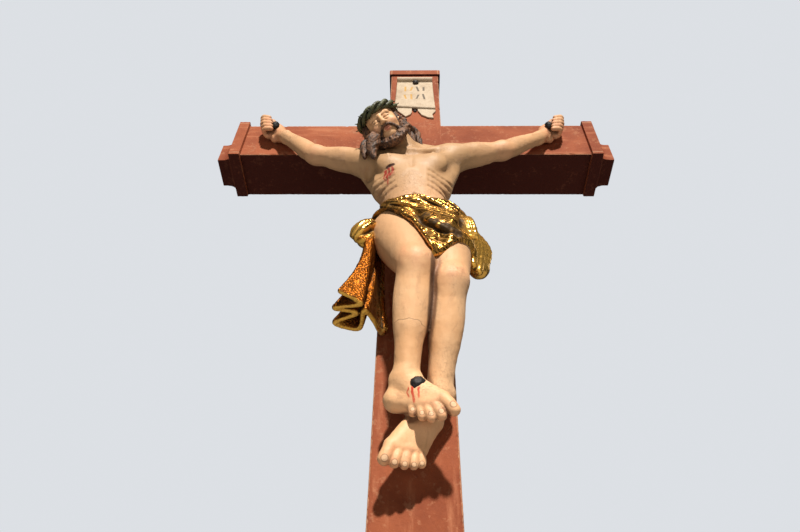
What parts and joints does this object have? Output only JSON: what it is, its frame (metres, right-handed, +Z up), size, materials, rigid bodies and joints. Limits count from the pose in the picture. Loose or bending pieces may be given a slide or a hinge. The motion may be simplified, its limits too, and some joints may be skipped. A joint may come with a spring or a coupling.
{
  "type": "stone crucifix",
  "caption": "Tall square-section cross on a stepped stone base, with a carved painted figure nailed to it and a title scroll above.",
  "frame": {"origin": "middle of the base's underside", "axes": "+Z up along the shaft, -Y the front that the figure faces, +X the viewer's right when looking at the front"},
  "size_m": [1.621, 0.7985, 3.194],
  "materials": {
    "red_stone": "weathered red-brown paint on stone, matt, with pale worn edges",
    "grey_stone": "bare tooled stone, matt and weathered",
    "painted_carving": "cream flesh paint, gilt loincloth, dark brown hair and dark green crown on carved stone",
    "white_paint": "off-white paint with gold and dark marks",
    "black_iron": "wrought black iron, rough"
  },
  "bodies": {
    "root": {"cross": "red_stone", "base": "grey_stone", "corpus": "painted_carving", "scroll": "white_paint", "nail_right_hand": "black_iron", "nail_left_hand": "black_iron", "nail_feet": "black_iron", "nail_scroll_top": "black_iron", "nail_scroll_foot": "black_iron"}
  },
  "joints": []
}
